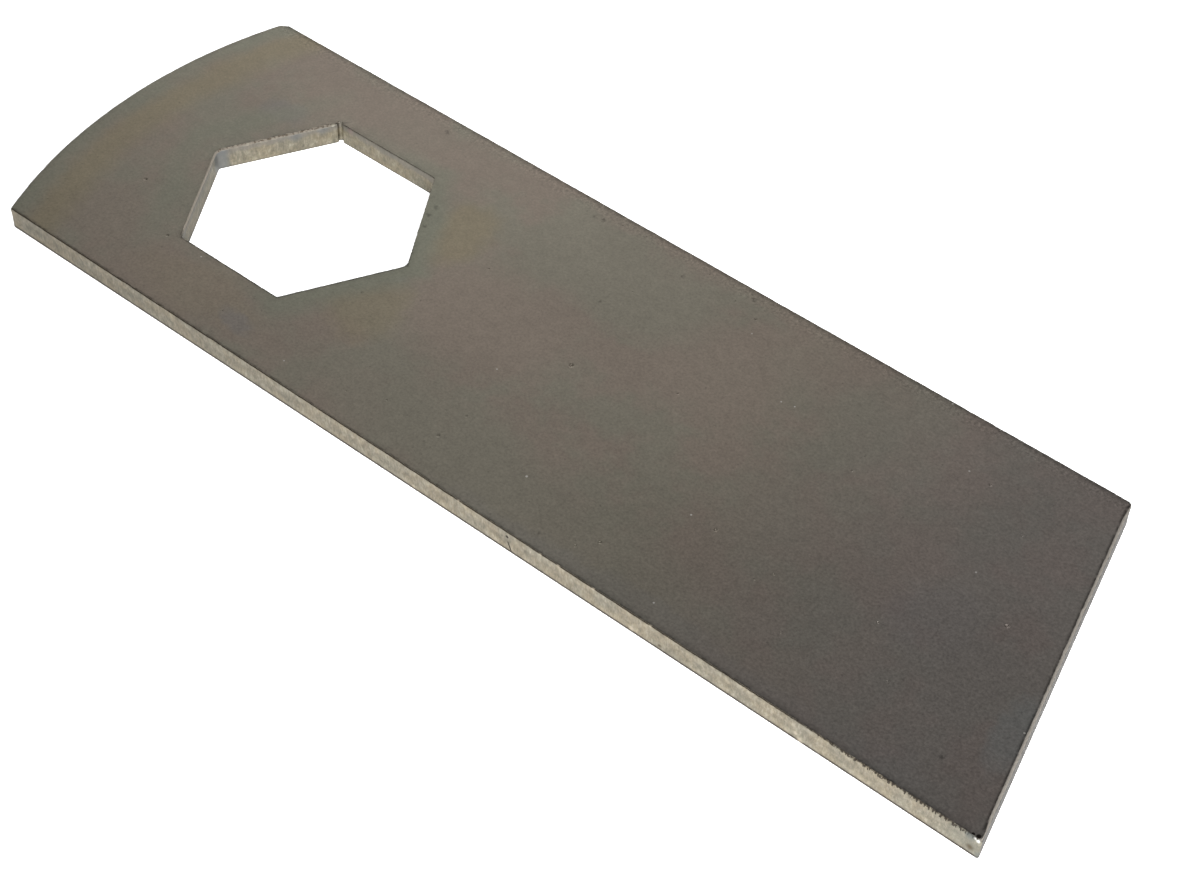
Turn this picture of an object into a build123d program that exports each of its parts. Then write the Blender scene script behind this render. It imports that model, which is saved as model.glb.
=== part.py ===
from build123d import *
from math import cos, radians, sin, sqrt
import os

# Scarifier blade: a flat steel bar with a rounded head, a hexagonal drive hole and a slanted cutting end.
# Units are millimetres, and the blade lies flat, as it does on a bench.
# The origin is the middle of the drive hole on the lower face.
# +X runs to the cutting end, +Y to the blade's short edge, and +Z up through the thickness.

# Flat bar
blade_width = 50.0
plate_thickness = 3.2

# Reach from the middle of the drive hole
long_edge_reach = 119.0  # to the leading corner, the one that meets the turf first
end_set_back = 12.0  # how far the trailing corner lies behind the leading one
head_reach = 33.5  # to the crown of the rounded head
head_radius = 68.0  # the head's arc, centred on the blade's middle line

# Drive hole, cut for a hexagonal shaft, with two of its corners on the blade's middle line
hole_across_flats = 29.0
middle_corner_radius = 1.3  # those two corners
side_corner_radius = 0.4  # the four beside them
lead_in_radius = 0.35  # the groove that the cut round the hole left in the corner where it began
hole_rim_break = 0.2

# Outer edges and corners
edge_round = 0.2
corner_round = 0.3
blunt_corner = 0.8  # the small flat on the head's corner at the short edge

# Values that follow from the sizes above
half_width = blade_width / 2
short_edge_reach = long_edge_reach - end_set_back
head_centre_x = head_radius - head_reach
head_corner_x = head_centre_x - sqrt(head_radius**2 - half_width**2)
hexagon_corners = 6
lead_in_corner = 2  # counted anticlockwise from the corner that points to the cutting end


def bar_plan():
    """The bar seen from above, before its corners are eased: two edges, the slanted end and the head."""
    head_corners = [(head_corner_x, -half_width), (head_corner_x, half_width)]
    leading_corner = (long_edge_reach, -half_width)
    trailing_corner = (short_edge_reach, half_width)
    with BuildSketch() as plan:
        with BuildLine():
            Polyline(head_corners[0], leading_corner, trailing_corner, head_corners[1])
            ThreePointArc(head_corners[1], (-head_reach, 0), head_corners[0])
        make_face()
    return plan.sketch


def upright_edges(bar):
    """The bar's upright corner edges, with the head's corner at the short edge first."""
    return bar.edges().filter_by(Axis.Z).sort_by_distance((head_corner_x, half_width, 0))


def eased_bar():
    """The bar at its full thickness, with its upright corners eased and its outer edges rounded."""
    with BuildPart() as bar:
        add(bar_plan())
        extrude(amount=plate_thickness)
        fillet(upright_edges(bar)[1:], corner_round)
        chamfer(upright_edges(bar)[0], blunt_corner)
        fillet(bar.faces().filter_by(Axis.Z).edges(), edge_round)
    return bar.part


def hexagon_corner(number):
    """A corner of the drive hole's hexagon, as it would be if it were sharp."""
    corner_reach = hole_across_flats / 2 / cos(radians(180 / hexagon_corners))
    angle = radians(360 / hexagon_corners * number)
    return (corner_reach * cos(angle), corner_reach * sin(angle))


def hole_plan():
    """The drive hole seen from above, with its rounded corners and its lead-in groove."""
    corners = [hexagon_corner(number) for number in range(hexagon_corners)]
    on_middle_line = hexagon_corners // 2
    radii = [
        side_corner_radius if number % on_middle_line else middle_corner_radius
        for number in range(hexagon_corners)
    ]
    with BuildSketch() as plan:
        with BuildLine():
            FilletPolyline(*corners, radius=radii, close=True)
        make_face()
        with Locations(hexagon_corner(lead_in_corner)):
            Circle(lead_in_radius)
    return plan.sketch


def blade():
    """The finished blade: the bar with its drive hole cut through and the hole's rims broken."""
    with BuildPart() as finished:
        add(eased_bar())
        outer_edges = finished.faces().filter_by(Axis.Z).edges()
        add(hole_plan())
        extrude(amount=plate_thickness, mode=Mode.SUBTRACT)
        rims = finished.faces().filter_by(Axis.Z).edges() - outer_edges
        chamfer(rims, hole_rim_break)
    return finished.part


os.makedirs("parts", exist_ok=True)
scarifier_blade = blade()
scarifier_blade.label = "scarifier_blade"
export_step(scarifier_blade, "parts/scarifier_blade.step")
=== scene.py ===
import random
from cmath import phase, rect
from math import ceil, cos, pi, radians, sin, sqrt, tan

import bpy
import numpy as np
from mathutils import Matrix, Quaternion, Vector
from mathutils.geometry import delaunay_2d_cdt


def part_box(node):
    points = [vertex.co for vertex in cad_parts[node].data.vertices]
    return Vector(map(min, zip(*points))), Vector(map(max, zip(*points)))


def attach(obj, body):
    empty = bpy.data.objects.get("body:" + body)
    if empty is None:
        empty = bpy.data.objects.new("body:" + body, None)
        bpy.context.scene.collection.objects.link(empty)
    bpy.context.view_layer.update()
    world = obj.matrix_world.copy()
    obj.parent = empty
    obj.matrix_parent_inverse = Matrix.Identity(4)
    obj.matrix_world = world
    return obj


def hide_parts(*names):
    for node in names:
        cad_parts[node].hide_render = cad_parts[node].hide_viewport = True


# Scarifier blade: a hardened steel bar with a rounded head, a hexagonal drive hole and a slanted cutting end.
# Lengths are metres in the part's own frame: the drive hole's middle is the origin and the blade lies on z = 0.

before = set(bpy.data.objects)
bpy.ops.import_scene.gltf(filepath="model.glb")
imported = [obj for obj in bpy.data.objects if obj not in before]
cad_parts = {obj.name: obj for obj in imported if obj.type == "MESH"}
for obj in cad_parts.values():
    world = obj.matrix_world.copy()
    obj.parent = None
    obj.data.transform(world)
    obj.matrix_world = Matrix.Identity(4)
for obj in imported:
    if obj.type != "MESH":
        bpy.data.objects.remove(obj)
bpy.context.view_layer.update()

mm = 0.001

# Plate
plate_low, plate_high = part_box("scarifier_blade")
plate_thickness = plate_high.z - plate_low.z
half_width = plate_high.y
top = plate_high.z

# Reach from the middle of the drive hole
long_edge_reach = 119.0 * mm
short_edge_reach = 107.0 * mm
head_reach = 33.5 * mm
head_radius = 68.0 * mm
head_centre_x = head_radius - head_reach

# Outer edges and corners
long_edge_break = 0.14 * mm
short_edge_break = 0.06 * mm
corner_round = 0.3 * mm
trailing_corner_round = 0.7 * mm
blunt_corner = 0.8 * mm
blunt_corner_round = 0.3 * mm
end_rim_break = 0.36 * mm  # the slanted end's upper edge, which the shears drew down
outer_foot_break = 0.06 * mm

# Drive hole
hole_across_flats = 29.0 * mm
hexagon_corners = 6
middle_corner_radius = 1.3 * mm
side_corner_radius = 0.4 * mm
lead_in_radius = 0.35 * mm
lead_in_lip = 0.12 * mm
lead_in_corner = 2

# How far the cut broke back the hole's upper rim on each of its six walls, from the corner at the cutting end
rim_break_by_wall = [0.06 * mm, 0.06 * mm, 0.2 * mm, 0.2 * mm, 0.05 * mm, 0.05 * mm]
rim_break_at_groove = 0.03 * mm
lower_rim_break = 0.05 * mm

# How finely the surface is divided
outer_spacing = 0.17 * mm
hole_spacing = 0.12 * mm
arc_step = radians(12)
head_step = radians(0.6)
wall_levels = 12
rim_levels = 5
flat_margin = 0.08 * mm
cap_spacing = 3.2 * mm

TOP, OUTER_CUT, HOLE_CUT = 0, 1, 2


# Plan of the blade, in complex numbers


def corner_arc(before, corner, after, radius):
    """The points that round off one corner of a closed line."""
    back, on = before - corner, after - corner
    back, on = back / abs(back), on / abs(on)
    half_angle = abs(phase(on / back)) / 2
    reach = radius / tan(half_angle)
    centre = corner + (back + on) / abs(back + on) * radius / sin(half_angle)
    start = corner + back * reach - centre
    sweep = phase((corner + on * reach - centre) / start)
    steps = max(2, ceil(abs(sweep) / arc_step))
    return [centre + start * rect(1, sweep * step / steps) for step in range(steps + 1)]


def filled(line, spacing):
    """A closed line with points added so that none lie further apart than the spacing."""
    points = []
    for here, there in zip(line, line[1:] + line[:1]):
        count = max(1, ceil(abs(there - here) / spacing))
        points += [here + (there - here) * step / count for step in range(count)]
    return points


def bar_outline():
    """The bar's outline, anticlockwise from the head's corner on the long edge."""
    head_corner_x = head_centre_x - sqrt(head_radius**2 - half_width**2)
    near_head = complex(head_corner_x, -half_width)
    leading = complex(long_edge_reach, -half_width)
    trailing = complex(short_edge_reach, half_width)
    head_centre = complex(head_centre_x, 0)
    far_head = near_head.conjugate()
    blunt_on_edge = far_head + blunt_corner
    blunt_on_arc = head_centre + (far_head - head_centre) * rect(1, blunt_corner / head_radius)
    sweep = phase((near_head - head_centre) / (blunt_on_arc - head_centre)) % (2 * pi)
    steps = ceil(sweep / head_step)
    arc = [head_centre + (blunt_on_arc - head_centre) * rect(1, sweep * s / steps) for s in range(1, steps)]
    line = corner_arc(arc[-1], near_head, leading, corner_round)
    line += corner_arc(near_head, leading, trailing, corner_round)
    line += corner_arc(leading, trailing, blunt_on_edge, trailing_corner_round)
    line += corner_arc(trailing, blunt_on_edge, blunt_on_arc, blunt_corner_round)
    line += corner_arc(blunt_on_edge, blunt_on_arc, arc[0], blunt_corner_round)
    return filled(line + arc, outer_spacing)


def hexagon_corner(number):
    """A corner of the drive hole's hexagon, as it would be if it were sharp."""
    corner_reach = hole_across_flats / 2 / cos(pi / hexagon_corners)
    return rect(corner_reach, 2 * pi / hexagon_corners * number)


def lead_in_groove():
    """The round groove in one corner, from the wall before it to the wall after it."""
    corner = hexagon_corner(lead_in_corner)
    start = hexagon_corner(lead_in_corner - 1) - corner
    finish = hexagon_corner(lead_in_corner + 1) - corner
    sweep = phase(finish / start) % (2 * pi)
    steps = ceil(sweep / arc_step)
    first = start / abs(start) * lead_in_radius
    groove = [corner + first * rect(1, sweep * step / steps) for step in range(steps + 1)]
    lip_in = corner_arc(corner + start, groove[0], groove[3], lead_in_lip)
    lip_out = corner_arc(groove[-4], groove[-1], corner + finish, lead_in_lip)
    return lip_in + groove[3:-3] + lip_out


def hole_outline():
    """The drive hole's outline, anticlockwise from the corner at the cutting end."""
    line = []
    for number in range(hexagon_corners):
        before, corner, after = (hexagon_corner(number + turn) for turn in (-1, 0, 1))
        if number == lead_in_corner:
            line += lead_in_groove()
        else:
            on_middle_line = number % (hexagon_corners // 2) == 0
            radius = middle_corner_radius if on_middle_line else side_corner_radius
            line += corner_arc(before, corner, after, radius)
    return filled(line, hole_spacing)


def out_of_steel(line, turn):
    """For each point of a closed line, the way out of the steel, longer at corners so that an inset keeps its width."""
    ways = []
    for before, here, after in zip(line[-1:] + line[:-1], line, line[1:] + line[:1]):
        first = (here - before) / abs(here - before) * turn
        second = (after - here) / abs(after - here) * turn
        ways.append((first + second) / (1 + (first * second.conjugate()).real))
    return ways


def hole_rim_break(place):
    """How far the upper rim is broken back at a place on the hole's outline."""
    turns = phase(place) / (2 * pi) % 1 * hexagon_corners % hexagon_corners
    wall = int(turns)
    share = turns - wall
    blend = 0.09
    width = rim_break_by_wall[wall]
    if share < blend:
        width += (rim_break_by_wall[wall - 1] - width) * (0.5 - share / blend / 2)
    if share > 1 - blend:
        following = rim_break_by_wall[(wall + 1) % hexagon_corners]
        width += (following - width) * (0.5 - (1 - share) / blend / 2)
    from_groove = abs(place - hexagon_corner(lead_in_corner)) / lead_in_radius
    nearness = min(1, max(0, (from_groove - 1) / 2))
    return rim_break_at_groove + (width - rim_break_at_groove) * nearness


def soft_corner_cut(place):
    """How much sharper the hole's corner at the head is at its foot than at its mouth."""
    corner = hexagon_corner(hexagon_corners // 2)
    mouth = corner - corner / abs(corner) * middle_corner_radius * (1 / cos(pi / hexagon_corners) - 1)
    share = abs(place - mouth) / (middle_corner_radius * pi / hexagon_corners * 1.1)
    return 0.17 * mm * max(0, 1 - share) ** 2


def outer_rim_break(place):
    """How far the upper edge is drawn down at a place on the bar's outline: more along the slanted end."""
    leading = complex(long_edge_reach, -half_width)
    slant = complex(short_edge_reach, half_width) - leading
    along = ((place - leading) / (slant / abs(slant))).real
    off_end = abs(((place - leading) / (slant / abs(slant))).imag)
    if off_end > 0.01 * mm:
        share = min(1, max(0, (place.imag + half_width - 1 * mm) / (10 * mm)))
        return long_edge_break + (short_edge_break - long_edge_break) * share
    share = min(1, max(0, (along - 1.2 * mm) / (2 * mm)), max(0, (abs(slant) - along) / (3 * mm)))
    plain = long_edge_break if along < abs(slant) / 2 else short_edge_break
    return plain + (end_rim_break - plain) * share


def outer_raggedness(place):
    """How ragged the upper edge is, from 0 to 1: the long edge frays towards the cutting end."""
    if place.imag > 0 and place.real < short_edge_reach - 2 * mm:
        return 0.1
    if place.imag > -half_width + 0.1 * mm:
        return 0.3
    return 0.12 + 0.88 * min(1, max(0, (place.real - 84 * mm) / (22 * mm)))


def hole_raggedness(place):
    """How ragged the hole's upper rim is, from 0 to 1: most on the wall after the lead-in groove."""
    wall = int(phase(place) / (2 * pi) % 1 * hexagon_corners) % hexagon_corners
    return 1.0 if wall == lead_in_corner else 0.3


# The blade's surface


class Surface:
    """The blade's surface while it is put together: its points, its faces and what each of them belongs to."""

    def __init__(self):
        self.points, self.out, self.wall, self.rim, self.ragged, self.cut = [], [], [], [], [], []
        self.faces, self.finish = [], []

    def add_point(self, place, height, out=0j, wall=0.0, rim=0.0, ragged=0.0, cut=TOP):
        self.points.append((place.real, place.imag, height))
        self.out.append((out.real, out.imag, 0.0))
        self.wall.append(wall)
        self.rim.append(rim)
        self.ragged.append(ragged)
        self.cut.append(cut)
        return len(self.points) - 1

    def add_band(self, upper, lower, finish, flipped):
        """The faces between two closed rings of as many points."""
        for number, corner in enumerate(upper):
            following = (number + 1) % len(upper)
            face = (corner, lower[number], lower[following], upper[following])
            self.faces.append(face[::-1] if flipped else face)
            self.finish.append(finish)

    def mesh(self, name):
        data = bpy.data.meshes.new(name)
        data.from_pydata(self.points, [], self.faces)
        data.attributes.new("out", "FLOAT_VECTOR", "POINT").data.foreach_set("vector", np.array(self.out).ravel())
        for name, values in (("wall", self.wall), ("rim", self.rim), ("ragged", self.ragged)):
            data.attributes.new(name, "FLOAT", "POINT").data.foreach_set("value", values)
        data.attributes.new("cut", "INT", "POINT").data.foreach_set("value", self.cut)
        data.attributes.new("finish", "INT", "FACE").data.foreach_set("value", self.finish)
        data.polygons.foreach_set("use_smooth", [True] * len(self.faces))
        return data


def side_profile(upper_break, upper_depth, lower_break, waist=0.0, margin=flat_margin, foot_cut=0.0):
    """A side's profile from the top face down, as (inset, depth, wall share, rim share)."""
    profile = [(upper_break + margin, 0.0, 0.0, 0.0)]
    for step in range(rim_levels + 1):
        angle = pi / 2 * step / rim_levels
        inset, depth = upper_break * (1 - sin(angle)), upper_depth * (1 - cos(angle))
        profile.append((inset, depth, step / rim_levels, max(sin(angle * 2), 0.35)))
    height = plate_thickness - upper_depth - lower_break
    for step in range(1, wall_levels):
        share = step / wall_levels
        inset = waist * sin(pi * share) ** 2 + foot_cut * share
        profile.append((inset, upper_depth + height * share, 1.0, 0.0))
    for step in range(rim_levels, -1, -1):
        angle = pi / 2 * step / rim_levels
        inset, depth = lower_break * (1 - sin(angle)), plate_thickness - lower_break * (1 - cos(angle))
        profile.append((inset + foot_cut, depth, step / rim_levels, 0.0))
    profile.append((lower_break + foot_cut + margin, plate_thickness, 0.0, 0.0))
    return profile


def add_side(surface, line, turn, profiles, raggedness, cut):
    """A closed side of the blade, ring by ring from the top face to the lower one. Returns its first and last ring."""
    ways = out_of_steel(line, turn)
    rings = []
    for level in zip(*profiles):
        ring = []
        for place, way, (inset, depth, wall, rim) in zip(line, ways, level):
            spot = place - way * inset
            ring.append(surface.add_point(spot, top - depth, way, wall, rim, raggedness(place), cut))
        rings.append(ring)
    for number, (upper, lower) in enumerate(zip(rings, rings[1:])):
        on_flat = number in (0, len(rings) - 2)
        surface.add_band(upper, lower, TOP if on_flat else cut, flipped=cut == HOLE_CUT)
    return rings[0], rings[-1]


def inside(points, loop):
    """Which of the points lie inside a closed loop."""
    x, y = points[:, :1], points[:, 1:]
    x1, y1 = loop[:, 0], loop[:, 1]
    x2, y2 = np.roll(x1, -1), np.roll(y1, -1)
    crosses = (y1 > y) != (y2 > y)
    rise = np.where(y2 == y1, 1, y2 - y1)
    return (crosses & (x < x1 + (y - y1) / rise * (x2 - x1))).sum(axis=1) % 2 == 1


def spread_points(outer_loop, hole_loop, margin):
    """Evenly spread points on the flat of a face, clear of its edges."""
    columns = np.arange(plate_low.x, plate_high.x, cap_spacing)
    rows = np.arange(-half_width, half_width, cap_spacing * 0.87)
    points = np.array([(x + (row % 2) * cap_spacing / 2, y) for row, y in enumerate(rows) for x in columns])
    points = points[inside(points, outer_loop) & ~inside(points, hole_loop)]
    edges = np.vstack([outer_loop[::4], hole_loop[::4]])
    gaps = np.sqrt(((points[:, None] - edges[None]) ** 2).sum(axis=2)).min(axis=1)
    return points[gaps > margin]


def add_face(surface, outer_ring, hole_ring, dents, height, downward):
    """A flat face of the blade, from its outer ring to the hole's ring, with its dents pressed in."""
    scale = 1 / mm
    loops = [np.array([surface.points[n][:2] for n in ring]) for ring in (outer_ring, hole_ring)]
    places = [tuple(p) for p in loops[0]] + [tuple(p) for p in loops[1]]
    numbers = list(outer_ring) + list(hole_ring)
    sides = [(n, (n + 1) % len(outer_ring)) for n in range(len(outer_ring))]
    first = len(outer_ring)
    sides += [(first + n, first + (n + 1) % len(hole_ring)) for n in range(len(hole_ring))]
    inner = [(x, y, 0.0) for x, y in spread_points(*loops, margin=cap_spacing * 0.6)]
    inner = [p for p in inner if all(abs(complex(*p[:2]) - d[0]) > d[1] * 2 for d in dents)]
    for middle, radius, depth in dents:
        inner += dent_points(middle, radius, depth)
    inward = 1 if downward else -1
    for x, y, depth in inner:
        places.append((x, y))
        numbers.append(surface.add_point(complex(x, y), height + inward * depth))
    vectors = [Vector((x * scale, y * scale)) for x, y in places]
    corners, _, triangles, sources, _, _ = delaunay_2d_cdt(vectors, sides, [], 1, 1e-6)
    triangles = np.array(triangles)
    middles = np.array([(c.x, c.y) for c in corners])[triangles].mean(axis=1) / scale
    kept = triangles[~inside(middles, loops[1]) & inside(middles, loops[0])]
    for triangle in kept:
        face = tuple(numbers[sources[corner][0]] for corner in triangle)
        surface.faces.append(face[::-1] if downward else face)
        surface.finish.append(TOP)


def dent_points(middle, radius, depth):
    """The points of one small round dent, from its lip to its bottom."""
    points = [(middle.real, middle.imag, depth)]
    for share, sunk in ((0.4, 0.8), (0.75, 0.3), (1.0, 0.0), (1.5, 0.0)):
        for step in range(10):
            place = middle + rect(radius * share, 2 * pi * (step + share) / 10)
            points.append((place.real, place.imag, depth * sunk))
    return points


def scattered_dents(count, seed):
    """Small dents scattered over a face, more of them towards the cutting end."""
    dice = random.Random(seed)
    dents = []
    while len(dents) < count:
        x = plate_low.x + (plate_high.x - plate_low.x) * dice.random() ** 0.6
        y = (dice.random() * 2 - 1) * (half_width - 1.5 * mm)
        radius = dice.uniform(0.1, 0.22) * mm
        place = complex(x, y)
        near_end = x > short_edge_reach - 2 * mm - (y - half_width) * 0.24
        near_head = abs(place - head_centre_x) > head_radius - 2 * mm and x < 0
        near_hole = abs(place) < hole_across_flats * 0.62
        crowded = any(abs(place - other) < 1.5 * mm for other, _, _ in dents)
        if not (near_end or near_head or near_hole or crowded):
            dents.append((place, radius, radius * dice.uniform(0.25, 0.5)))
    return dents


def blade_surface():
    """The whole blade as one closed surface."""
    surface = Surface()
    outer_line, hole_line = bar_outline(), hole_outline()
    outer_profiles = []
    for place in outer_line:
        width = outer_rim_break(place)
        outer_profiles.append(side_profile(width, width, outer_foot_break, outer_waist))
    outer_top, outer_bottom = add_side(surface, outer_line, -1j, outer_profiles, outer_raggedness, OUTER_CUT)
    hole_profiles = []
    for place in hole_line:
        width = hole_rim_break(place)
        depth = min(width, 0.12 * mm + width * 0.4)
        lower = min(width, lower_rim_break)
        margin = min(width, 2 * flat_margin)
        hole_profiles.append(side_profile(width, depth, lower, margin=margin, foot_cut=soft_corner_cut(place)))
    hole_top, hole_bottom = add_side(surface, hole_line, 1j, hole_profiles, hole_raggedness, HOLE_CUT)
    upper_dents = [(place, 0.3 * mm, 0.12 * mm) for place in deep_pits] + scattered_dents(26, seed=4)
    add_face(surface, outer_top, hole_top, upper_dents, top, downward=False)
    add_face(surface, outer_bottom, hole_bottom, scattered_dents(18, seed=9), plate_low.z, downward=True)
    return surface


# Marks on the faces and sides
outer_waist = 0.03 * mm
deep_pits = [complex(43.6, 0.0) * mm, complex(105.6, 0.4) * mm]


# Node helpers


def put(tree, kind, values=None, **settings):
    """Adds a node with its settings, and fills its inputs with plain values or links."""
    node = tree.nodes.new(kind)
    for name, value in settings.items():
        setattr(node, name, value)
    for name, value in (values or {}).items():
        if isinstance(value, bpy.types.NodeSocket):
            tree.links.new(value, node.inputs[name])
        else:
            node.inputs[name].default_value = value
    return node


def calc(tree, operation, *values):
    """The result of a Math node."""
    return put(tree, "ShaderNodeMath", dict(enumerate(values)), operation=operation).outputs[0]


def vector_calc(tree, operation, *values, output=0):
    """The result of a Vector Math node."""
    return put(tree, "ShaderNodeVectorMath", dict(enumerate(values)), operation=operation).outputs[output]


def ease(tree, value, low, high, to_low=0.0, to_high=1.0):
    """A value carried smoothly from one range to another, and held at its ends."""
    values = {"Value": value, "From Min": low, "From Max": high, "To Min": to_low, "To Max": to_high}
    return put(tree, "ShaderNodeMapRange", values, interpolation_type="SMOOTHSTEP").outputs["Result"]


def mottle(tree, place, size, detail=2.0, roughness=0.5, w=0.0, distortion=0.0):
    """Noise whose spots are about as large as the given size."""
    values = {
        "Vector": place, "Scale": 1 / size, "Detail": detail, "Roughness": roughness, "W": w, "Distortion": distortion,
    }
    return put(tree, "ShaderNodeTexNoise", values, noise_dimensions="4D").outputs["Fac"]


def blend(tree, share, first, second, mode="MIX"):
    """Two colours blended."""
    node = put(tree, "ShaderNodeMix", {0: share, 6: first, 7: second}, data_type="RGBA", blend_type=mode)
    return node.outputs[2]


def tone(red_to_green, blue_to_green, brightness):
    """A colour of a given mean brightness, from the ratios of its red and blue to its green."""
    green = brightness * 3 / (red_to_green + 1 + blue_to_green)
    return (green * red_to_green, green, green * blue_to_green, 1.0)


def new_group(name, kind, inputs, outputs):
    """A node group with named sockets. Returns it with its input and output nodes."""
    group = bpy.data.node_groups.new(name, kind)
    for in_out, sockets in (("INPUT", inputs), ("OUTPUT", outputs)):
        for label, (socket_type, default) in sockets.items():
            socket = group.interface.new_socket(label, in_out=in_out, socket_type="NodeSocket" + socket_type)
            if default is not None:
                socket.default_value = default
    return group, group.nodes.new("NodeGroupInput").outputs, group.nodes.new("NodeGroupOutput").inputs


def use_group(tree, group, **values):
    """Places a shader node group in a material, with its own values."""
    node = tree.nodes.new("ShaderNodeGroup")
    node.node_tree = group
    for name, value in values.items():
        label = name.replace("_", " ").title()
        if isinstance(value, bpy.types.NodeSocket):
            tree.links.new(value, node.inputs[label])
        else:
            node.inputs[label].default_value = value
    return node.outputs


# Geometry nodes


def cut_relief_tree():
    """Roughens the points of one cut: upright drag lines and grain on its wall, and wear and nicks along its rims."""
    floats = ("Line Pitch", "Line Depth", "Grain Size", "Grain Depth", "Rim Wear", "Nick Pitch", "Nick Depth", "Seed")
    inputs = {"Geometry": ("Geometry", None), "Cut": ("Int", 0)}
    inputs |= {name: ("Float", 0.001) for name in floats}
    inputs["Finish"] = ("Material", None)
    tree, given, result = new_group("cut relief", "GeometryNodeTree", inputs, {"Geometry": ("Geometry", None)})

    def stored(name, data_type):
        node = put(tree, "GeometryNodeInputNamedAttribute", {"Name": name}, data_type=data_type)
        return next(output for output in node.outputs if output.enabled and output.name == "Attribute")

    def same(first, second):
        node = tree.nodes.new("FunctionNodeCompare")
        node.data_type, node.operation = "INT", "EQUAL"
        tree.links.new(first, node.inputs[2])
        tree.links.new(second, node.inputs[3])
        return node.outputs[0]

    def noise(place, pitch, detail):
        values = {"Vector": place, "W": given["Seed"], "Scale": calc(tree, "DIVIDE", 1.0, pitch), "Detail": detail}
        return put(tree, "ShaderNodeTexNoise", values, noise_dimensions="4D").outputs[0]

    place = tree.nodes.new("GeometryNodeInputPosition").outputs[0]
    along_cut = vector_calc(tree, "MULTIPLY", place, (1.0, 1.0, 0.1))
    lines = calc(tree, "MULTIPLY", noise(along_cut, given["Line Pitch"], 2.0), given["Line Depth"])
    grain = calc(tree, "MULTIPLY", noise(place, given["Grain Size"], 2.0), given["Grain Depth"])
    wall_depth = calc(tree, "MULTIPLY", calc(tree, "ADD", lines, grain), stored("wall", "FLOAT"))
    slow_wear = ease(tree, noise(along_cut, calc(tree, "MULTIPLY", given["Line Pitch"], 5.0), 2.0), 0.3, 0.7)
    teeth = ease(tree, noise(along_cut, given["Line Pitch"], 1.0), 0.4, 0.6)
    frayed = calc(tree, "MULTIPLY", teeth, stored("ragged", "FLOAT"))
    wear = calc(tree, "MULTIPLY", calc(tree, "MULTIPLY_ADD", slow_wear, 0.4, frayed), given["Rim Wear"])
    nick = ease(tree, noise(place, given["Nick Pitch"], 0.0), 0.66, 0.76)
    nicks = calc(tree, "MULTIPLY", nick, given["Nick Depth"])
    rim_depth = calc(tree, "MULTIPLY", calc(tree, "ADD", wear, nicks), stored("rim", "FLOAT"))
    depth = calc(tree, "ADD", wall_depth, rim_depth)
    inward = vector_calc(tree, "SCALE", stored("out", "FLOAT_VECTOR"))
    tree.links.new(calc(tree, "MULTIPLY", depth, -1.0), inward.node.inputs["Scale"])
    moved = tree.nodes.new("GeometryNodeSetPosition")
    tree.links.new(given["Geometry"], moved.inputs["Geometry"])
    tree.links.new(same(stored("cut", "INT"), given["Cut"]), moved.inputs["Selection"])
    tree.links.new(inward, moved.inputs["Offset"])
    real = tree.nodes.new("GeometryNodeRealizeInstances")
    tree.links.new(moved.outputs[0], real.inputs["Geometry"])
    finished = tree.nodes.new("GeometryNodeSetMaterial")
    tree.links.new(real.outputs[0], finished.inputs["Geometry"])
    tree.links.new(same(stored("finish", "INT"), given["Cut"]), finished.inputs["Selection"])
    tree.links.new(given["Finish"], finished.inputs["Material"])
    tree.links.new(finished.outputs[0], result["Geometry"])
    return tree


def struck_corner_tree():
    """Presses in the points round one place, as a knock does."""
    inputs = {"Geometry": ("Geometry", None), "Place": ("Vector", None), "Reach": ("Float", 0.001)}
    inputs |= {"Push": ("Vector", None)}
    tree, given, result = new_group("struck corner", "GeometryNodeTree", inputs, {"Geometry": ("Geometry", None)})
    place = tree.nodes.new("GeometryNodeInputPosition").outputs[0]
    away = vector_calc(tree, "DISTANCE", place, given["Place"], output="Value")
    share = ease(tree, calc(tree, "DIVIDE", away, given["Reach"]), 0.0, 1.0, 1.0, 0.0)
    push = vector_calc(tree, "SCALE", given["Push"])
    tree.links.new(share, push.node.inputs["Scale"])
    moved = put(tree, "GeometryNodeSetPosition", {"Geometry": given["Geometry"], "Offset": push})
    real = put(tree, "GeometryNodeRealizeInstances", {"Geometry": moved.outputs[0]})
    tree.links.new(real.outputs[0], result["Geometry"])
    return tree


def apply_tree(piece, tree, **values):
    """Puts a Geometry Nodes modifier on a piece, with its inputs set by their identifiers."""
    modifier = piece.modifiers.new(tree.name, "NODES")
    modifier.node_group = tree
    for item in tree.interface.items_tree:
        label = item.name.lower().replace(" ", "_")
        if item.in_out == "INPUT" and label in values:
            modifier[item.identifier] = values[label]


def made_plain(piece):
    """Turns what the modifiers make into the piece's own mesh."""
    graph = bpy.context.evaluated_depsgraph_get()
    plain = bpy.data.meshes.new_from_object(piece.evaluated_get(graph))
    piece.modifiers.clear()
    piece.data = plain


# Finishes


def finish(name):
    """A new material. Returns it with its tree, its shader and its Object coordinates."""
    material = bpy.data.materials.new(name)
    material.use_nodes = True
    tree = material.node_tree
    shader = tree.nodes["Principled BSDF"]
    place = tree.nodes.new("ShaderNodeTexCoord").outputs["Object"]
    return material, tree, shader, place


def link(tree, shader, **values):
    """Feeds the shader's inputs from links, or sets them."""
    for name, value in values.items():
        socket = shader.inputs[name.replace("_", " ").title()]
        if isinstance(value, bpy.types.NodeSocket):
            tree.links.new(value, socket)
        else:
            socket.default_value = value


def shaded(tree, colour, shade):
    """A colour made lighter or darker."""
    result = vector_calc(tree, "SCALE", colour)
    tree.links.new(shade, result.node.inputs["Scale"])
    return result


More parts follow.
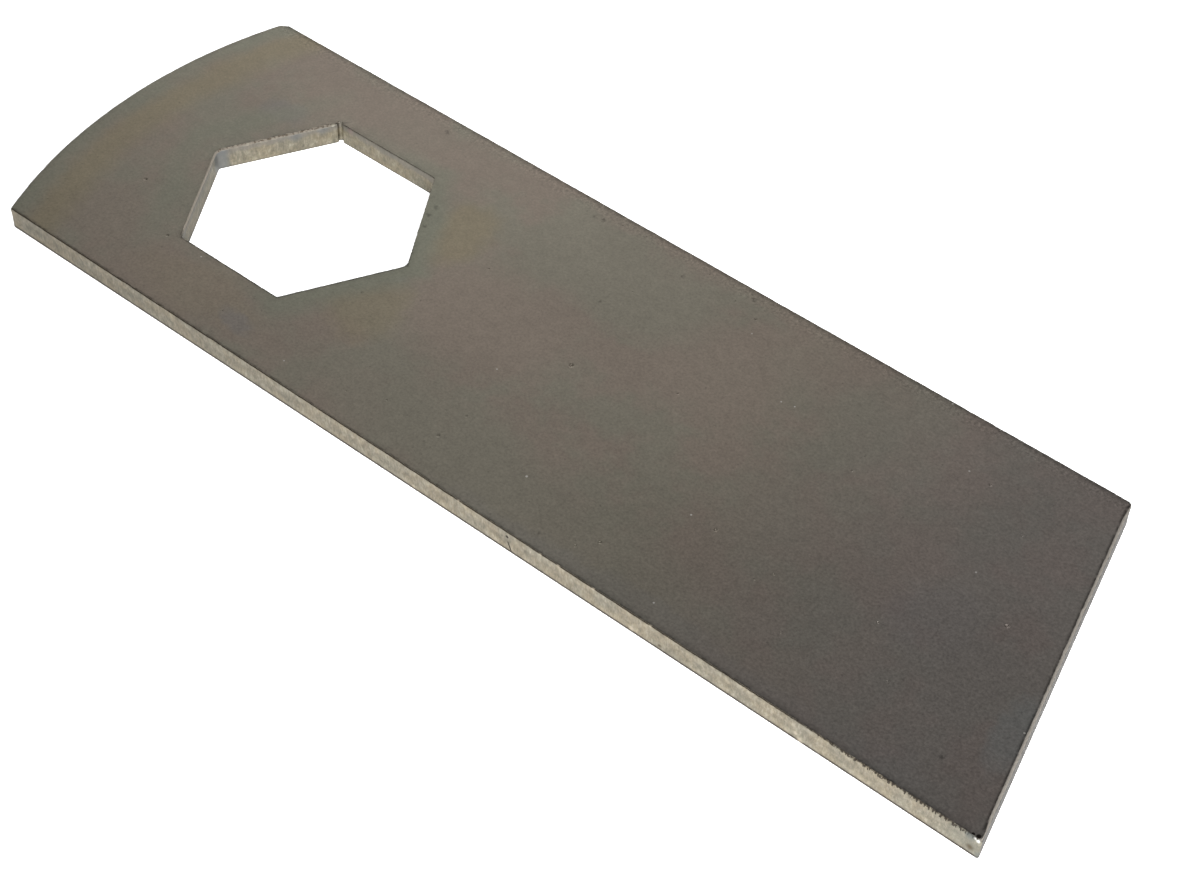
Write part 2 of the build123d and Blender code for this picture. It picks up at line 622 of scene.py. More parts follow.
def spots(tree, place, marks, softness=0.5):
    """A mask of small round marks, each given by its middle and its radius."""
    mask = 0.0
    for middle, radius in marks:
        away = vector_calc(tree, "DISTANCE", place, middle, output="Value")
        mask = calc(tree, "MAXIMUM", ease(tree, away, radius * (1 - softness), radius, 1.0, 0.0), mask)
    return mask


def steel_grain_group():
    """The fine grain of the steel, for its colour and for its relief."""
    inputs = {
        "Place": ("Vector", None), "Size": ("Float", 0.0003),
        "Contrast": ("Float", 0.1), "Stretch": ("Vector", (1, 1, 1)),
    }
    outputs = {"Shade": ("Float", None), "Height": ("Float", None)}
    tree, given, result = new_group("steel grain", "ShaderNodeTree", inputs, outputs)
    place = vector_calc(tree, "MULTIPLY", given["Place"], given["Stretch"])
    fine = put(tree, "ShaderNodeTexNoise", {"Vector": place, "Detail": 3.0, "Roughness": 0.7})
    tree.links.new(calc(tree, "DIVIDE", 1.0, given["Size"]), fine.inputs["Scale"])
    shade = calc(tree, "MULTIPLY_ADD", calc(tree, "SUBTRACT", fine.outputs["Fac"], 0.5), given["Contrast"], 1.0)
    tree.links.new(shade, result["Shade"])
    tree.links.new(fine.outputs["Fac"], result["Height"])
    return tree


def cut_steel_group(grain):
    """Cut steel: warm and cool areas with pale upright streaks, and grain that runs with the cut."""
    inputs = {
        "Place": ("Vector", None), "Pale": ("Color", None), "Warm": ("Color", None), "Cool": ("Color", None),
        "Streak Size": ("Float", 0.0005), "Contrast": ("Float", 0.5),
    }
    outputs = {"Color": ("Color", None), "Grain Height": ("Float", None), "Share Of Height": ("Float", None)}
    tree, given, result = new_group("cut steel", "ShaderNodeTree", inputs, outputs)
    place = given["Place"]
    areas = ease(tree, mottle(tree, place, 2.6 * mm, detail=3.0, w=1.0), 0.38, 0.62)
    colour = blend(tree, areas, given["Warm"], given["Cool"])
    upright = vector_calc(tree, "MULTIPLY", place, (1.0, 1.0, 0.4))
    streaks = put(tree, "ShaderNodeTexNoise", {"Vector": upright, "Detail": 3.0, "Roughness": 0.6})
    tree.links.new(calc(tree, "DIVIDE", 1.0, given["Streak Size"]), streaks.inputs["Scale"])
    colour = blend(tree, ease(tree, streaks.outputs["Fac"], 0.45, 0.7, 0.0, 0.6), colour, given["Pale"])
    fine = use_group(tree, grain, place=place, size=0.28 * mm, contrast=given["Contrast"], stretch=(1.0, 1.0, 0.45))
    coarse = use_group(tree, grain, place=place, size=0.9 * mm, contrast=given["Contrast"], stretch=(1.0, 1.0, 0.8))
    tree.links.new(shaded(tree, shaded(tree, colour, fine["Shade"]), coarse["Shade"]), result["Color"])
    tree.links.new(fine["Height"], result["Grain Height"])
    height = calc(tree, "DIVIDE", put(tree, "ShaderNodeSeparateXYZ", {0: place}).outputs[2], plate_thickness)
    wander = calc(tree, "SUBTRACT", mottle(tree, place, 0.9 * mm, w=6.0), 0.5)
    tree.links.new(calc(tree, "MULTIPLY_ADD", wander, 0.35, height), result["Share Of Height"])
    return tree


def cut_distance_group():
    """How far a place on a face lies from the drive hole, the head's arc, the long sides and the slanted end, in mm."""
    outputs = {name: ("Float", None) for name in ("Hole", "Head", "Side", "End")}
    tree, given, result = new_group("distance to cuts", "ShaderNodeTree", {"Place": ("Vector", None)}, outputs)
    scaled = vector_calc(tree, "SCALE", given["Place"])
    scaled.node.inputs["Scale"].default_value = 1 / mm
    split = put(tree, "ShaderNodeSeparateXYZ", {0: scaled}).outputs
    reach = 0.0
    for turn in (30, 90, 150):
        way = (cos(radians(turn)), sin(radians(turn)), 0)
        across = vector_calc(tree, "DOT_PRODUCT", scaled, way, output="Value")
        reach = calc(tree, "MAXIMUM", calc(tree, "ABSOLUTE", across), reach)
    tree.links.new(calc(tree, "SUBTRACT", reach, hole_across_flats / 2 / mm), result["Hole"])
    from_centre = vector_calc(tree, "SUBTRACT", scaled, (head_centre_x / mm, 0, top / mm))
    radius = vector_calc(tree, "LENGTH", vector_calc(tree, "MULTIPLY", from_centre, (1, 1, 0)), output="Value")
    off_head = calc(tree, "MULTIPLY", calc(tree, "GREATER_THAN", split[0], 0.0), 200.0)
    tree.links.new(calc(tree, "ADD", calc(tree, "SUBTRACT", head_radius / mm, radius), off_head), result["Head"])
    tree.links.new(calc(tree, "SUBTRACT", half_width / mm, calc(tree, "ABSOLUTE", split[1])), result["Side"])
    slant = Vector((2 * half_width, long_edge_reach - short_edge_reach, 0)).normalized()
    along = vector_calc(tree, "DOT_PRODUCT", scaled, slant, output="Value")
    leading = Vector((long_edge_reach, -half_width, 0)) / mm
    tree.links.new(calc(tree, "SUBTRACT", leading.dot(slant), along), result["End"])
    return tree


def heat_bands_group():
    """The film that heat left beside a cut: slate next to it, straw further in, and nothing beyond."""
    inputs = {"Distance": ("Float", 0.0), "Slate Width": ("Float", 3.0), "Straw Width": ("Float", 6.0)}
    outputs = {"Slate": ("Float", None), "Straw": ("Float", None)}
    tree, given, result = new_group("heat bands", "ShaderNodeTree", inputs, outputs)
    slate = calc(tree, "DIVIDE", given["Distance"], given["Slate Width"])
    tree.links.new(ease(tree, slate, 0.35, 1.25, 1.0, 0.0), result["Slate"])
    beyond_slate = calc(tree, "SUBTRACT", given["Distance"], given["Slate Width"])
    into_straw = calc(tree, "DIVIDE", beyond_slate, given["Straw Width"])
    rise = ease(tree, into_straw, -0.35, 0.3)
    fall = ease(tree, into_straw, 0.45, 1.2, 1.0, 0.0)
    tree.links.new(calc(tree, "MULTIPLY", rise, fall), result["Straw"])
    return tree


# Colours of the oxide film, as ratios of red and blue to green, with the mean brightness of bare film
film_brightness = 0.22
rose = tone(1.185, 0.823, film_brightness)
moss = tone(1.080, 0.803, film_brightness)
straw = tone(1.160, 0.705, film_brightness)
slate = tone(1.005, 0.785, film_brightness * 0.98)
violet = tone(1.150, 0.925, film_brightness * 0.97)
dusk = tone(1.085, 0.925, film_brightness * 0.97)
ash = tone(1.070, 0.865, film_brightness)
sea = tone(0.990, 0.960, film_brightness * 1.05)

# Patches of film on the face: its middle, its reach along and across the blade, its colour and its strength
film_patches = [
    (complex(-2, 20) * mm, 17 * mm, 5 * mm, rose, 0.8),
    (complex(30, -1) * mm, 13 * mm, 10 * mm, rose, 1.0),
    (complex(58, 10) * mm, 10 * mm, 9 * mm, rose, 0.9),
    (complex(66, 20) * mm, 9 * mm, 6 * mm, rose, 0.7),
    (complex(4, -20) * mm, 15 * mm, 5 * mm, rose, 0.6),
    (complex(0, -20) * mm, 12 * mm, 5 * mm, straw, 0.3),
    (complex(-19, -18) * mm, 9 * mm, 6 * mm, rose, 0.7),
    (complex(17.5, 8.5) * mm, 5 * mm, 7 * mm, straw, 0.9),
    (complex(18.5, -9) * mm, 6 * mm, 6 * mm, straw, 0.7),
    (complex(40, 15) * mm, 15 * mm, 8 * mm, moss, 1.0),
    (complex(38, -19) * mm, 22 * mm, 8 * mm, moss, 0.8),
    (complex(78, 16) * mm, 8 * mm, 9 * mm, moss, 0.7),
    (complex(76, -4) * mm, 9 * mm, 8 * mm, moss, 0.5),
    (complex(60, -22) * mm, 26 * mm, 8 * mm, moss, 0.8),
    (complex(75, -25) * mm, 34 * mm, 3 * mm, ash, 0.7),
    (complex(45, 25) * mm, 32 * mm, 2.5 * mm, rose, 0.6),
    (complex(104, -25) * mm, 22 * mm, 3 * mm, ash, 0.8),
    (complex(106, -23) * mm, 4 * mm, 2 * mm, sea, 0.5),
    (complex(92, 0) * mm, 8 * mm, 7 * mm, rose, 0.8),
    (complex(99, -4) * mm, 7 * mm, 6 * mm, violet, 0.9),
    (complex(16.7, -2) * mm, 2.2 * mm, 1.6 * mm, sea, 0.7),
    (complex(8.2, -20.9) * mm, 3.5 * mm, 2 * mm, dusk, 0.7),
    (complex(-15.6, 11.2) * mm, 3.5 * mm, 2.5 * mm, dusk, 0.7),
    (complex(101, 16) * mm, 3 * mm, 4 * mm, moss, 0.5),
]
end_stain = (complex(114.5, -11) * mm, 3 * mm, 6 * mm)



def on_face(x, y, radius):
    """A small round mark on the upper face, as its middle and its radius. Lengths are given in millimetres."""
    return Vector((x * mm, y * mm, top)), radius * mm


def on_long_side(x, depth, radius):
    """A mark on the side below the long edge, at a depth below the upper face."""
    return Vector((x * mm, -half_width, top - depth * mm)), radius * mm


def in_hole(x, y, depth, radius):
    """A mark on a wall of the drive hole, at a depth below the upper face."""
    return Vector((x * mm, y * mm, top - depth * mm)), radius * mm


bright_specks = [
    on_face(89.8, 16.9, 0.16), on_face(98.8, 4.6, 0.16), on_face(114.9, -10.6, 0.16), on_face(51.1, -17.1, 0.2),
    on_face(73.9, -22.2, 0.16), on_face(66.5, 11.6, 0.14), on_face(68.2, 12.0, 0.14), on_face(69.2, -9.4, 0.16),
]
dark_specks = [
    on_face(12.5, 8.7, 0.5), on_face(13.7, 6.9, 0.5), on_face(12.4, 10.4, 0.6), on_face(15.8, -7.1, 0.3),
    on_face(13.2, -16.9, 0.3), on_face(6.4, -16.4, 0.35), on_face(3.7, 22.4, 0.6), on_face(28.7, 22.2, 0.6),
    on_face(30.2, 22.5, 0.4), on_face(44.3, 21.0, 0.4), on_face(53.5, 23.5, 0.4), on_face(39.3, 10.7, 0.4),
    on_face(22.2, -3.5, 0.25), on_face(57.7, -22.9, 0.4), on_face(110.0, -18.8, 0.5),
]
corner_smut = [on_face(118.3, -24.6, 0.35), on_face(117.7, -24.7, 0.25)]
side_spots = [on_long_side(54.9, 0.8, 0.3)]
side_crack = [on_long_side(55.0 + step * 0.05, 1.7 + step * 0.12, 0.15) for step in range(12)]
# Pale marks on the side below the long edge: chips and nicks, and at 95.5 and 96.2 mm a painted highlight.
side_chips_and_highlights = [
    on_long_side(95.5, 2.1, 0.45), on_long_side(96.2, 2.8, 0.55), on_long_side(67.5, 0.1, 0.35),
    on_long_side(73.0, 2.6, 0.5), on_long_side(40.5, 2.7, 0.4), on_long_side(47.5, 0.05, 0.3),
    on_long_side(59.8, 0.15, 0.3), on_long_side(62.4, 0.05, 0.4), on_long_side(75.6, 0.15, 0.3),
]
side_stains = [on_long_side(117.75, 2.05, 0.7), on_long_side(77.0, 2.4, 0.4)]
corner_glint = [on_long_side(118.5, 0.34, 0.34), on_long_side(118.1, 0.15, 0.25)]
corner_blues = [on_long_side(117.5, 0.35, 0.9), on_long_side(118.9, 2.6, 0.7)]
hole_blues = [in_hole(-9.6, 12.4, 0.5, 1.3), in_hole(-11.4, 9.2, 0.6, 1.3)]
hole_glints = [in_hole(-14.7, 3.6, 0.1, 0.3), in_hole(-8.9, 13.7, 0.1, 0.35)]
hole_rose = [in_hole(-6.6, 14.5, 0.4, 0.8)]


def soft_patch(tree, place, middle, reach_along, reach_across):
    """A mask that is full at a place on the blade and fades out around it."""
    away = vector_calc(tree, "SUBTRACT", place, (middle.real, middle.imag, 0))
    squeezed = vector_calc(tree, "MULTIPLY", away, (1 / reach_along, 1 / reach_across, 0))
    return ease(tree, vector_calc(tree, "LENGTH", squeezed, output="Value"), 0.5, 1.15, 1.0, 0.0)


def wandered(tree, place, size, reach):
    """A place shifted by slow noise, so that what is measured from it has uneven edges."""
    shift = put(tree, "ShaderNodeTexNoise", {"Vector": place, "Scale": 1 / size, "Detail": 3.0, "Roughness": 0.6})
    centred = vector_calc(tree, "SUBTRACT", shift.outputs["Color"], (0.5, 0.5, 0.5))
    scaled = vector_calc(tree, "SCALE", centred)
    scaled.node.inputs["Scale"].default_value = reach
    return vector_calc(tree, "ADD", place, scaled)


def film_colour(tree, place, distances, bands):
    """The oxide film's colour: broad patches, dusky towards the cutting end, with heat tints at the cuts."""
    split = put(tree, "ShaderNodeSeparateXYZ", {0: place}).outputs
    warped = wandered(tree, wandered(tree, place, 9 * mm, 7 * mm), 2.5 * mm, 2.5 * mm)
    ground = mottle(tree, place, 9 * mm, detail=3.0, roughness=0.6, w=2.0)
    colour = blend(tree, ease(tree, ground, 0.4, 0.6), moss, rose)
    for middle, along, across, film, strength in film_patches:
        patch = soft_patch(tree, warped, middle, along, across)
        colour = blend(tree, calc(tree, "MULTIPLY", patch, strength), colour, film)
    towards_end = ease(tree, split[0], 62 * mm, 108 * mm)
    end_film = blend(tree, ease(tree, mottle(tree, place, 7 * mm, w=5.0), 0.42, 0.58), dusk, violet)
    colour = blend(tree, calc(tree, "MULTIPLY", towards_end, 0.85), colour, end_film)
    colour = blend(tree, calc(tree, "MULTIPLY", soft_patch(tree, warped, *end_stain), 0.7), colour, sea)

    edges = use_group(tree, distances, place=wandered(tree, place, 5 * mm, 3 * mm))
    head_film = use_group(tree, bands, distance=edges["Head"], slate_width=2.8, straw_width=5.5)
    colour = blend(tree, calc(tree, "MULTIPLY", head_film["Straw"], 0.9), colour, straw)
    colour = blend(tree, calc(tree, "MULTIPLY", head_film["Slate"], 0.75), colour, slate)
    slate_width = ease(tree, split[0], 0 * mm, 15 * mm, 2.4, 3.6)
    hole_film = use_group(tree, bands, distance=edges["Hole"], slate_width=slate_width, straw_width=4.0)
    left_of_hole = ease(tree, split[0], -16 * mm, -8 * mm, 0.65, 0.0)
    right_of_hole = ease(tree, split[0], 0 * mm, 14 * mm, 0.2, 1.0)
    colour = blend(tree, calc(tree, "MULTIPLY", hole_film["Straw"], left_of_hole), colour, slate)
    return blend(tree, calc(tree, "MULTIPLY", hole_film["Slate"], right_of_hole), colour, slate)


def film_shade(tree, place, grain, distances):
    """How light the film is: fine grain, slow clouds, smudges beside the cuts, dark specks, and past the middle a
    painted light and shade that makes it lighter towards the far long edge and darker towards the near one.
    """
    split = put(tree, "ShaderNodeSeparateXYZ", {0: place}).outputs
    exact = use_group(tree, distances, place=place)
    to_cut = calc(tree, "MINIMUM", calc(tree, "MINIMUM", exact["Hole"], exact["Head"]), exact["Side"])
    fine = use_group(tree, grain, place=place, size=0.35 * mm, contrast=0.8)
    coarse = use_group(tree, grain, place=place, size=1.6 * mm, contrast=0.3)
    shade = calc(tree, "MULTIPLY", fine["Shade"], coarse["Shade"])

    beside_cut = ease(tree, to_cut, 0.15, 1.1, 1.0, 0.0)
    smudge = calc(tree, "MULTIPLY", beside_cut, ease(tree, mottle(tree, place, 1.2 * mm, w=8.0), 0.35, 0.65))
    shade = calc(tree, "MULTIPLY", shade, calc(tree, "MULTIPLY_ADD", smudge, -0.15, 1.0))
    at_long_edge = ease(tree, split[1], -24.6 * mm, -23.8 * mm, 1.0, 0.0)
    rubbed = calc(tree, "MULTIPLY", at_long_edge, ease(tree, split[0], 40 * mm, 85 * mm))
    shade = calc(tree, "MULTIPLY", shade, calc(tree, "MULTIPLY_ADD", rubbed, -0.15, 1.0))
    worn = ease(tree, mottle(tree, place, 0.7 * mm, detail=2.0, w=17.0), 0.3, 0.55, 0.25, 1.0)
    below_hole = ease(tree, vector_calc(tree, "DOT_PRODUCT", place, (-0.5, 1, 0), output="Value"), -8 * mm, -2 * mm, 1.0, 0.0)
    hole_lip = calc(tree, "MULTIPLY", ease(tree, exact["Hole"], 0.1, 0.4, 1.0, 0.0), below_hole)
    short_lip = calc(tree, "MULTIPLY", ease(tree, exact["Side"], 0.0, 0.9, 0.75, 0.0), ease(tree, split[1], 0.0, 1 * mm))
    end_lip = ease(tree, exact["End"], 0.4, 0.75, 1.0, 0.0)
    long_lip = calc(tree, "MULTIPLY", ease(tree, exact["Side"], 0.12, 0.5, 1.0, 0.0), ease(tree, split[1], -1 * mm, 0.0, 1.0, 0.0))
    broken = ease(tree, mottle(tree, place, 1.1 * mm, detail=2.0, w=23.0), 0.38, 0.56, 0.35, 1.0)
    long_lip = calc(tree, "MULTIPLY", long_lip, broken)
    lip = calc(tree, "MAXIMUM", calc(tree, "MAXIMUM", hole_lip, short_lip), calc(tree, "MAXIMUM", end_lip, long_lip))
    shade = calc(tree, "MULTIPLY", shade, calc(tree, "MULTIPLY_ADD", calc(tree, "MULTIPLY", lip, worn), -0.6, 1.0))
    # Painted light and shade: past the middle of the blade the film is lighter towards the far long edge and darker
    # towards the near one.
    painted_light_tilt = calc(tree, "MULTIPLY", ease(tree, split[1], -20 * mm, 20 * mm, -0.1, 0.05), ease(tree, split[0], 45 * mm, 75 * mm))
    shade = calc(tree, "MULTIPLY", shade, calc(tree, "ADD", painted_light_tilt, 1.0))
    smutty = calc(tree, "MULTIPLY", spots(tree, wandered(tree, place, 0.6 * mm, 1.2 * mm), dark_specks, 0.9), worn)
    shade = calc(tree, "MULTIPLY", shade, calc(tree, "MULTIPLY_ADD", smutty, -0.42, 1.0))
    at_short_edge = ease(tree, split[1], 22 * mm, 24 * mm)
    speckle = calc(tree, "SUBTRACT", mottle(tree, place, 0.4 * mm, detail=2.0, roughness=0.8, w=13.0), 0.5)
    speckle = calc(tree, "MULTIPLY", calc(tree, "MULTIPLY", speckle, at_short_edge), 1.6)
    shade = calc(tree, "MULTIPLY", shade, calc(tree, "ADD", speckle, 1.0))
    cloud = ease(tree, mottle(tree, place, 14 * mm, detail=3.0, w=11.0), 0.3, 0.7, 0.96, 1.04)
    shade = calc(tree, "MULTIPLY", shade, cloud)

    cells = put(tree, "ShaderNodeTexVoronoi", {"Vector": place, "Scale": 1 / (1.1 * mm)}).outputs
    chosen = calc(tree, "GREATER_THAN", put(tree, "ShaderNodeSeparateColor", {0: cells["Color"]}).outputs[0], 0.9)
    speck = calc(tree, "MULTIPLY", chosen, ease(tree, cells["Distance"], 0.06, 0.16, 1.0, 0.0))
    return calc(tree, "MULTIPLY", shade, calc(tree, "MULTIPLY_ADD", speck, -0.22, 1.0)), fine["Height"]


def film_finish(grain, distances, bands):
    """The rolled faces: a thin oxide film with heat tints, fine grain, specks and a few bright nicks."""
    material, tree, shader, place = finish("oxide film")
    shade, height = film_shade(tree, place, grain, distances)
    colour = shaded(tree, film_colour(tree, place, distances, bands), shade)
    cells = put(tree, "ShaderNodeTexVoronoi", {"Vector": place, "Scale": 1 / (3.1 * mm)}).outputs
    picked = calc(tree, "GREATER_THAN", put(tree, "ShaderNodeSeparateColor", {0: cells["Color"]}).outputs[1], 0.93)
    speck = calc(tree, "MULTIPLY", picked, ease(tree, cells["Distance"], 0.025, 0.05, 1.0, 0.0))
    bright = calc(tree, "MAXIMUM", speck, spots(tree, place, bright_specks))
    colour = blend(tree, calc(tree, "MULTIPLY", bright, 0.75), colour, (0.62, 0.6, 0.56, 1.0))
    colour = blend(tree, spots(tree, place, corner_smut), colour, (0.02, 0.016, 0.014, 1.0))
    roughness = calc(tree, "MULTIPLY_ADD", calc(tree, "SUBTRACT", height, 0.5), 0.2, 0.49)
    relief = put(tree, "ShaderNodeBump", {"Strength": 0.35, "Distance": 0.012 * mm, "Height": height})
    link(tree, shader, base_color=colour, roughness=roughness, metallic=1.0, normal=relief.outputs[0])
    return material


def outer_cut_finish(distances, cut_steel):
    """The bar's sides: sheared steel with painted shade that darkens them towards the head, a dark ragged line at its
    upper edge and a painted contact shadow along its foot.
    """
    material, tree, shader, place = finish("outer cut")
    split = put(tree, "ShaderNodeSeparateXYZ", {0: place}).outputs
    steel = use_group(
        tree, cut_steel, place=place, streak_size=0.5 * mm, contrast=1.1,
        pale=tone(1.09, 0.82, 0.41), warm=tone(1.13, 0.76, 0.325), cool=tone(1.08, 0.80, 0.31),
    )
    uneven = steel["Share Of Height"]
    dip = calc(tree, "MULTIPLY", ease(tree, uneven, 0.25, 0.45), ease(tree, uneven, 0.6, 0.75, 1.0, 0.0))
    shade = calc(tree, "MULTIPLY_ADD", dip, -0.12, 1.04)
    # Painted shade: the sides darken towards the head, standing in for the light falling off along the blade.
    shade = calc(tree, "MULTIPLY", shade, ease(tree, split[0], -35 * mm, 35 * mm, 0.72, 0.97))
    colour = shaded(tree, steel["Color"], shade)
    greenish = calc(tree, "MULTIPLY", ease(tree, split[0], 112 * mm, 118 * mm), 0.35)
    colour = blend(tree, greenish, colour, tone(0.98, 0.86, 0.3))
    stain = calc(tree, "MULTIPLY", spots(tree, place, side_stains, 0.9), 0.85)
    colour = blend(tree, stain, colour, tone(1.3, 0.6, 0.1))

    on_end = ease(tree, use_group(tree, distances, place=place)["End"], 0.5, 1.0, 1.0, 0.0)
    off_long_side = ease(tree, split[1], 0.15 * mm - half_width, 0.4 * mm - half_width)
    on_end = calc(tree, "MULTIPLY", on_end, off_long_side)
    rim = put(tree, "ShaderNodeAttribute", attribute_name="rim").outputs["Fac"]
    # On the slanted end the drawn-down upper edge is pale, partly painted light where the break faces up, and the steel
    # below it is dark.
    drawn_down = ease(tree, calc(tree, "ADD", uneven, rim), 1.25, 1.6)
    end_steel = blend(tree, drawn_down, tone(1.06, 0.92, 0.13), tone(1.08, 0.9, 0.36))
    colour = blend(tree, on_end, colour, end_steel)
    ragged = put(tree, "ShaderNodeAttribute", attribute_name="ragged").outputs["Fac"]
    worn = ease(tree, mottle(tree, place, 0.8 * mm, w=4.0), 0.2, 0.5, 0.6, 1.0)
    frayed = ease(tree, ragged, 0.4, 1.0)
    upright = vector_calc(tree, "MULTIPLY", place, (1.0, 1.0, 0.3))
    gaps = ease(tree, mottle(tree, upright, 0.3 * mm, detail=1.0, w=9.0), 0.42, 0.6, 0.02 * mm, 0.45 * mm)
    gaps = calc(tree, "SUBTRACT", calc(tree, "MULTIPLY_ADD", gaps, frayed, split[2]), top)
    gaps = ease(tree, gaps, 0.0, 0.06 * mm, 0.0, 0.85)
    line = calc(tree, "MULTIPLY", ease(tree, rim, 0.35, 0.75), calc(tree, "MULTIPLY", worn, 0.95))
    line = calc(tree, "MULTIPLY", line, calc(tree, "MULTIPLY_ADD", frayed, -0.6, 1.0))
    line = calc(tree, "MULTIPLY", calc(tree, "MAXIMUM", line, gaps), calc(tree, "SUBTRACT", 1.0, on_end))
    # Painted contact shadow: the lowest half millimetre of the sides is darkened where they meet the floor.
    foot = ease(tree, split[2], 0.25 * mm, 0.48 * mm, 0.85, 0.0)
    dark = calc(tree, "MAXIMUM", calc(tree, "MAXIMUM", line, foot), spots(tree, place, side_spots + side_crack))
    colour = blend(tree, dark, colour, (0.052, 0.041, 0.034, 1.0))
    # Pale chips on the side, together with painted highlights.
    chips_and_highlights = calc(tree, "MULTIPLY", spots(tree, place, side_chips_and_highlights, 0.8), 0.6)
    colour = blend(tree, chips_and_highlights, colour, tone(1.12, 0.80, 0.6))
    blues = calc(tree, "MULTIPLY", spots(tree, place, corner_blues, 0.8), 0.6)
    colour = blend(tree, blues, colour, tone(0.92, 0.97, 0.22))
    glint = spots(tree, wandered(tree, place, 0.3 * mm, 0.3 * mm), corner_glint, 0.7)
    colour = blend(tree, glint, colour, (0.95, 0.94, 0.9, 1.0))
    roughness = ease(tree, rim, 0.3, 0.8, 0.55, 0.8)
    relief = put(tree, "ShaderNodeBump", {"Strength": 0.5, "Distance": 0.03 * mm, "Height": steel["Grain Height"]})
    link(tree, shader, base_color=colour, roughness=roughness, metallic=1.0, normal=relief.outputs[0])
    return material


def hole_cut_finish(cut_steel):
    """The hole's walls: smooth cool steel above, rougher warm steel below, with upright drag lines and a painted
    contact shadow along their foot.
    """
    material, tree, shader, place = finish("hole cut")
    split = put(tree, "ShaderNodeSeparateXYZ", {0: place}).outputs
    steel = use_group(
        tree, cut_steel, place=place, streak_size=0.4 * mm, contrast=1.1,
        pale=tone(1.10, 0.80, 0.37), warm=tone(1.13, 0.74, 0.285), cool=tone(1.08, 0.78, 0.26),
    )
    uneven = steel["Share Of Height"]
    upper = ease(tree, uneven, 0.62, 0.8, 0.0, 0.6)
    colour = blend(tree, upper, steel["Color"], tone(1.05, 0.92, 0.25))
    # Painted shade: each wall of the hole is made lighter or darker by the way it faces, darkest on the near side.
    painted_facing_shade = calc(tree, "MULTIPLY", ease(tree, split[1], -7 * mm, 3 * mm, 0.7, 1.05), ease(tree, split[0], -9 * mm, -6 * mm, 0.97, 0.93))
    colour = shaded(tree, colour, painted_facing_shade)
    low = calc(tree, "MULTIPLY", ease(tree, uneven, 0.1, 0.3, 0.35, 0.0), ease(tree, split[1], -3 * mm, 0.0, 1.0, 0.0))
    colour = blend(tree, low, colour, tone(1.0, 0.9, 0.12))
    bluish = soft_patch(tree, place, hexagon_corner(3), 2.2 * mm, 1.6 * mm)
    bluish = calc(tree, "MAXIMUM", bluish, calc(tree, "MULTIPLY", spots(tree, place, hole_blues, 0.8), 0.7))
    colour = blend(tree, calc(tree, "MULTIPLY", bluish, 0.8), colour, tone(0.95, 1.02, 0.23))
    rosy = calc(tree, "MULTIPLY", spots(tree, place, hole_rose, 0.8), 0.6)
    colour = blend(tree, rosy, colour, tone(1.3, 0.95, 0.28))
    rim = put(tree, "ShaderNodeAttribute", attribute_name="rim").outputs["Fac"]
    worn = ease(tree, mottle(tree, place, 1.5 * mm, w=4.0), 0.35, 0.6, 0.4, 0.9)
    line = calc(tree, "MULTIPLY", ease(tree, rim, 0.25, 0.6), worn)
    line = calc(tree, "MULTIPLY", line, ease(tree, split[0], -9.5 * mm, -8.2 * mm))
    ragged = put(tree, "ShaderNodeAttribute", attribute_name="ragged").outputs["Fac"]
    upright = vector_calc(tree, "MULTIPLY", place, (1.0, 1.0, 0.3))
    teeth = ease(tree, mottle(tree, upright, 0.4 * mm, detail=1.0, w=9.0), 0.42, 0.58, -0.15 * mm, 0.26 * mm)
    above_teeth = calc(tree, "SUBTRACT", calc(tree, "ADD", split[2], teeth), top)
    above_teeth = ease(tree, above_teeth, 0.0, 0.08 * mm, 0.0, 0.9)
    above_teeth = calc(tree, "MULTIPLY", above_teeth, ease(tree, ragged, 0.4, 0.9))
    head_side = calc(tree, "MULTIPLY", ease(tree, split[0], -9.2 * mm, -8.4 * mm, 0.9, 0.0), ease(tree, rim, 0.1, 0.35))
    colour = blend(tree, head_side, colour, tone(1.09, 0.87, 0.44))
    colour = blend(tree, above_teeth, colour, tone(1.16, 0.8, 0.24))
    # Painted contact shadow: the lowest quarter millimetre of the hole's walls is darkened where they meet the floor.
    foot = ease(tree, split[2], 0.05 * mm, 0.25 * mm, 0.65, 0.0)
    colour = blend(tree, calc(tree, "MAXIMUM", line, foot), colour, (0.06, 0.06, 0.048, 1.0))
    colour = blend(tree, calc(tree, "MULTIPLY", spots(tree, place, hole_glints), 0.6), colour, (0.6, 0.58, 0.5, 1.0))
    roughness = ease(tree, rim, 0.0, 0.4, 0.5, 0.95)
    relief = put(tree, "ShaderNodeBump", {"Strength": 0.5, "Distance": 0.03 * mm, "Height": steel["Grain Height"]})
    link(tree, shader, base_color=colour, roughness=roughness, metallic=1.0, normal=relief.outputs[0])
    return material


# The finished blade


